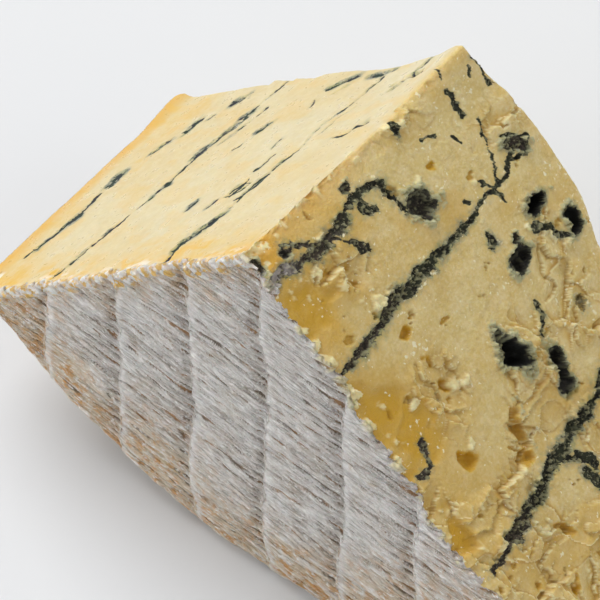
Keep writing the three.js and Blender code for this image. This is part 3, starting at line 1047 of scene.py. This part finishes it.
def rind_colour(s, strands, hair):
    """Grey bloom over tan skin: brown in the grooves, white on the fibres, tan at the rim.
    Painted shade on the slope before each band's crest, and a painted highlight along the crest.
    """
    mottle = s.range(s.noise(0.009, 5), 0.35, 0.65)
    s.base = s.mix(mottle, colour(238, 235, 231), colour(222, 215, 207))
    skin = s.range(s.noise(0.0012, 5, 0.7, strands), 0.48, 0.68, 0.0, 0.45)
    s.coat(skin, colour(166, 155, 142))
    dust = s.range(s.noise(0.0006, 3, 0.6), 0.5, 0.62, 0.0, 0.5)
    s.coat(dust, colour(240, 238, 236))
    # Painted shade: darker grey on the slope before each band's crest.
    valley = s.mark("valley", 0.27)
    s.coat(valley, colour(146, 140, 134))

    worn = s.range(s.mark("tan"), 0.0, 0.8, 0.0, 0.8)
    s.coat(worn, colour(222, 202, 172))
    tan = s.times(s.mark("tan"), s.range(s.noise(0.0035, 4, 0.65), 0.46, 0.62))
    s.coat(tan, colour(214, 160, 96))
    olive = s.range(s.noise(0.009, 4, 0.65), 0.58, 0.72, 0.0, 0.4)
    s.coat(olive, colour(164, 146, 102))
    s.coat(s.times(hair, 0.4), colour(116, 96, 76))
    streak = s.plus(s.mark("groove"), s.times(s.noise(0.0018, 4, 0.65, strands), 1.6))
    streak = s.range(streak, 1.24, 1.58, 0.0, 0.85)
    brown = s.mix(s.range(s.noise(0.006, 2), 0.4, 0.65), colour(106, 90, 72), colour(170, 122, 68))
    s.coat(streak, brown)
    white = s.range(s.noise(0.0007, 3, 0.6, strands), 0.54, 0.66, 0.0, 0.85)
    s.coat(white, colour(252, 250, 247))
    # White on lifted fibres, and a painted highlight along each band's crest.
    s.coat(s.mark("fibre", 0.6), colour(252, 250, 247))
    powder = s.range(s.noise(0.0024, 3), 0.44, 0.54)
    cream = s.mix(powder, colour(240, 200, 122), colour(250, 248, 244))
    s.coat(s.mark("frost"), cream)
    s.coat(s.mark("crumb", 0.9), colour(240, 226, 160))


def rind_material():
    s = Shader("grey_natural_rind")
    strands = s.place(stretch=(3, 1, 1), turn=0.2)
    across = s.times(s.mark("strand"), STRAND_SPAN)
    across = s.plus(across, s.times(s.noise(0.0024, 4, 0.6, strands), 2.2))
    hair = s.range(s.maths("PINGPONG", across, 0.6), 0.36, 0.6)
    hair = s.times(hair, s.range(s.noise(0.004, 3, 0.6, strands), 0.35, 0.6))
    rind_colour(s, strands, hair)
    s.put(s.surface.inputs["Base Color"], s.base)
    s.surface.inputs["Roughness"].default_value = 0.9
    s.surface.inputs["Specular IOR Level"].default_value = 0.25
    s.surface.inputs["Subsurface Weight"].default_value = 0.08
    s.surface.inputs["Subsurface Scale"].default_value = 0.002
    fibres = s.range(s.noise(0.0008, 4, 0.65, strands), 0.4, 0.7)
    fuzz = s.plus(s.noise(0.0007, 4, 0.65), fibres)
    fuzz = s.maths("SUBTRACT", fuzz, s.times(hair, 0.9))
    s.put(s.surface.inputs["Normal"], s.bump(fuzz, 0.9, 0.0005))
    return s.material


# ---------------- the pieces


def cheese_wedge():
    wedge = Wedge()
    places = wedge.places()
    moved, marks = carve(wedge, places)
    lost = lose_corner(wedge, moved)
    marks["flesh"] = np.maximum(marks["flesh"], lost)
    marks["amber"] = np.maximum(marks["amber"], 0.6 * lost)
    moved[:, 2] = np.maximum(moved[:, 2], 0)
    mesh = make_mesh("cheese_wedge_visual", moved, wedge.quads, marks)
    mesh.materials.append(paste_material())
    mesh.materials.append(rind_material())
    corner_flesh = marks["flesh"][wedge.quads].mean(axis=1)
    mesh.polygons.foreach_set("material_index", (corner_flesh < 0.5).astype(np.int32))
    mesh.update()
    piece = bpy.data.objects.new("cheese_wedge_visual", mesh)
    bpy.context.scene.collection.objects.link(piece)
    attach(piece, "root")
    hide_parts("cheese_wedge")
    return piece


def floor():
    s = Shader("pale_floor")
    s.surface.inputs["Base Color"].default_value = colour(228, 230, 233)
    s.surface.inputs["Roughness"].default_value = 0.9
    bpy.ops.mesh.primitive_plane_add(size=6)
    plane = bpy.context.object
    plane.name = "floor"
    plane.data.materials.append(s.material)


# ---------------- light and camera

VIEW_AZIMUTH = 39.7
VIEW_ELEVATION = 52.75
VIEW_DISTANCE = 1.543
VIEW_LENS = 361.3
VIEW_CENTRE = Vector((-0.0127, -0.0094, 0.0681))  # what the middle of the picture shows
LAMP_DISTANCE = 3.6
LAMP_SIZE = 2.8


def direction(azimuth, elevation):
    a, e = math.radians(azimuth), math.radians(elevation)
    return Vector((math.sin(a) * math.cos(e), -math.cos(a) * math.cos(e), math.sin(e)))


def area_light(name, azimuth, elevation, watts):
    data = bpy.data.lights.new(name, "AREA")
    data.shape = "DISK"
    data.size = LAMP_SIZE
    data.energy = watts
    lamp = bpy.data.objects.new(name, data)
    lamp.location = VIEW_CENTRE + direction(azimuth, elevation) * LAMP_DISTANCE
    lamp.rotation_euler = direction(azimuth, elevation).to_track_quat("Z", "Y").to_euler()
    bpy.context.scene.collection.objects.link(lamp)


def light_the_scene():
    area_light("key", azimuth=-105, elevation=58, watts=84)
    area_light("fill", azimuth=-35, elevation=25, watts=41)
    area_light("right", azimuth=100, elevation=35, watts=15)
    world = bpy.data.worlds.new("studio")
    world.use_nodes = True
    world.node_tree.nodes["Background"].inputs["Color"].default_value = (1.0, 0.985, 0.96, 1)
    world.node_tree.nodes["Background"].inputs["Strength"].default_value = 0.42
    bpy.context.scene.world = world
    bpy.context.scene.view_settings.view_transform = "Standard"


def camera():
    data = bpy.data.cameras.new("camera")
    data.lens = VIEW_LENS
    data.clip_end = 20
    eye = bpy.data.objects.new("camera", data)
    back = direction(VIEW_AZIMUTH, VIEW_ELEVATION)
    eye.location = VIEW_CENTRE + back * VIEW_DISTANCE
    eye.rotation_euler = back.to_track_quat("Z", "Y").to_euler()
    bpy.context.scene.collection.objects.link(eye)
    bpy.context.scene.camera = eye


cheese_wedge()
floor()
light_the_scene()
camera()
